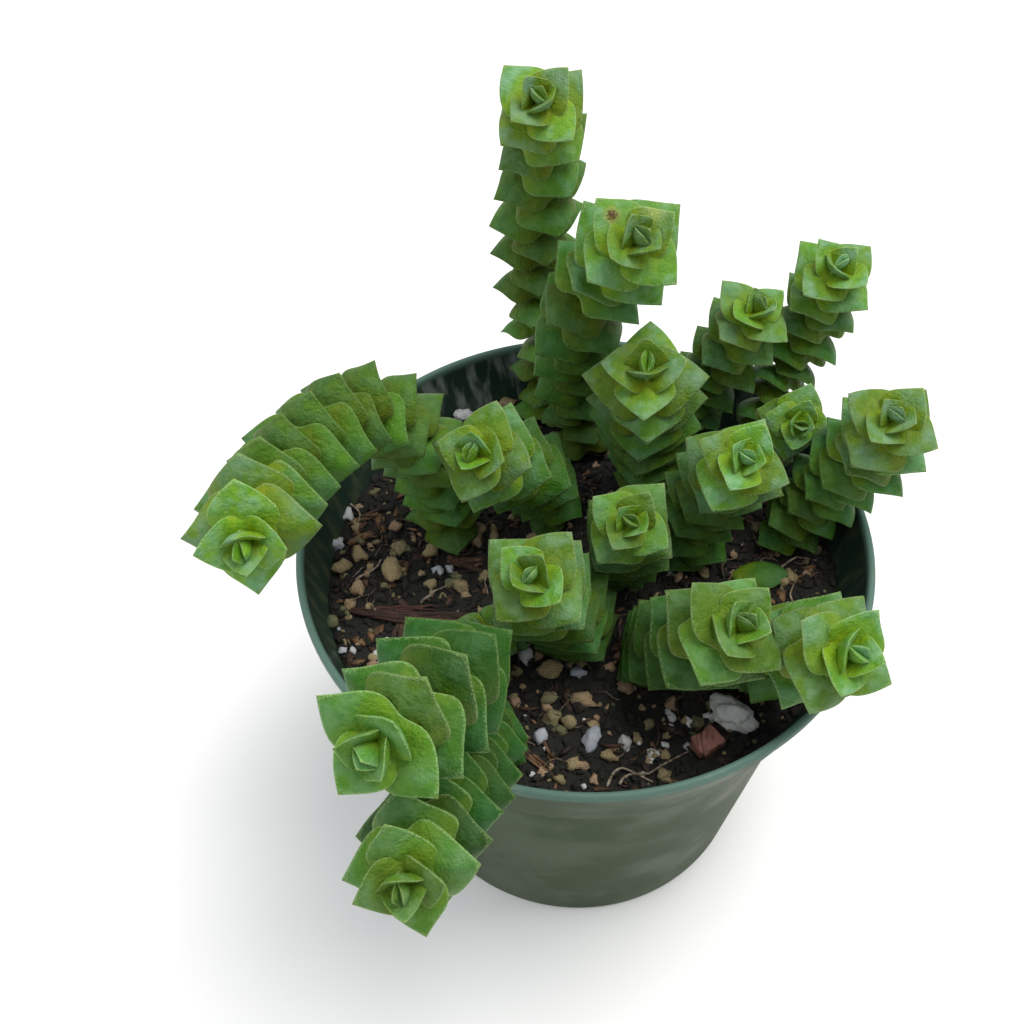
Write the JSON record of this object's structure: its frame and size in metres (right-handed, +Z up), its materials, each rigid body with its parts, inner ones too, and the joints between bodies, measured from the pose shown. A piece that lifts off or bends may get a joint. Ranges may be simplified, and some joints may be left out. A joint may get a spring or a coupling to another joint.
{
  "type": "potted jade plant",
  "caption": "Small succulent with square stacks of clasping paired leaves on arching stems, growing in gritty soil in a round tapered plastic nursery pot.",
  "frame": {"origin": "centre of the pot's flat base, on its underside", "axes": "+Z up along the pot's axis, -Y towards the side that the trailing front shoots hang over, +X right as seen from there"},
  "size_m": [0.1189, 0.1422, 0.1587],
  "materials": {
    "pot_plastic": "satin",
    "potting_mix": "matte",
    "perlite": "matte",
    "pumice": "matte",
    "bark": "matte",
    "stem": "satin",
    "leaf": "satin",
    "young_leaf": "satin"
  },
  "bodies": {
    "root": {"pot": "pot_plastic", "soil": "potting_mix", "perlite_chunk": "perlite", "perlite_back": "perlite", "pumice_pebble": "pumice", "bark_chip": "bark", "bark_strip": "bark", "fallen_leaf": "leaf", "bud_back_right_long": "young_leaf", "bud_back_right_short": "young_leaf", "bud_back_tall": "young_leaf", "bud_centre": "young_leaf", "bud_centre_low": "young_leaf", "bud_far_right_front": "young_leaf", "bud_front_centre": "young_leaf", "bud_front_left_trailing": "young_leaf", "bud_front_left_upper": "young_leaf", "bud_front_left_young": "young_leaf", "bud_front_right": "young_leaf", "bud_left_arching": "young_leaf", "bud_left_centre": "young_leaf", "bud_mid_tall": "young_leaf", "bud_right_long": "young_leaf", "bud_right_mid": "young_leaf", "bud_right_small": "young_leaf", "leaves_back_right_long": "leaf", "leaves_back_right_short": "leaf", "leaves_back_tall": "leaf", "leaves_centre": "leaf", "leaves_centre_low": "leaf", "leaves_far_right_front": "leaf", "leaves_front_centre": "leaf", "leaves_front_left_trailing": "leaf", "leaves_front_left_upper": "leaf", "leaves_front_left_young": "leaf", "leaves_front_right": "leaf", "leaves_left_arching": "leaf", "leaves_left_centre": "leaf", "leaves_mid_tall": "leaf", "leaves_right_long": "leaf", "leaves_right_mid": "leaf", "leaves_right_small": "leaf", "stem_back_right_long": "stem", "stem_back_right_short": "stem", "stem_back_tall": "stem", "stem_centre": "stem", "stem_centre_low": "stem", "stem_far_right_front": "stem", "stem_front_centre": "stem", "stem_front_left_trailing": "stem", "stem_front_left_upper": "stem", "stem_front_left_young": "stem", "stem_front_right": "stem", "stem_left_arching": "stem", "stem_left_centre": "stem", "stem_mid_tall": "stem", "stem_right_long": "stem", "stem_right_mid": "stem", "stem_right_small": "stem"}
  },
  "joints": []
}
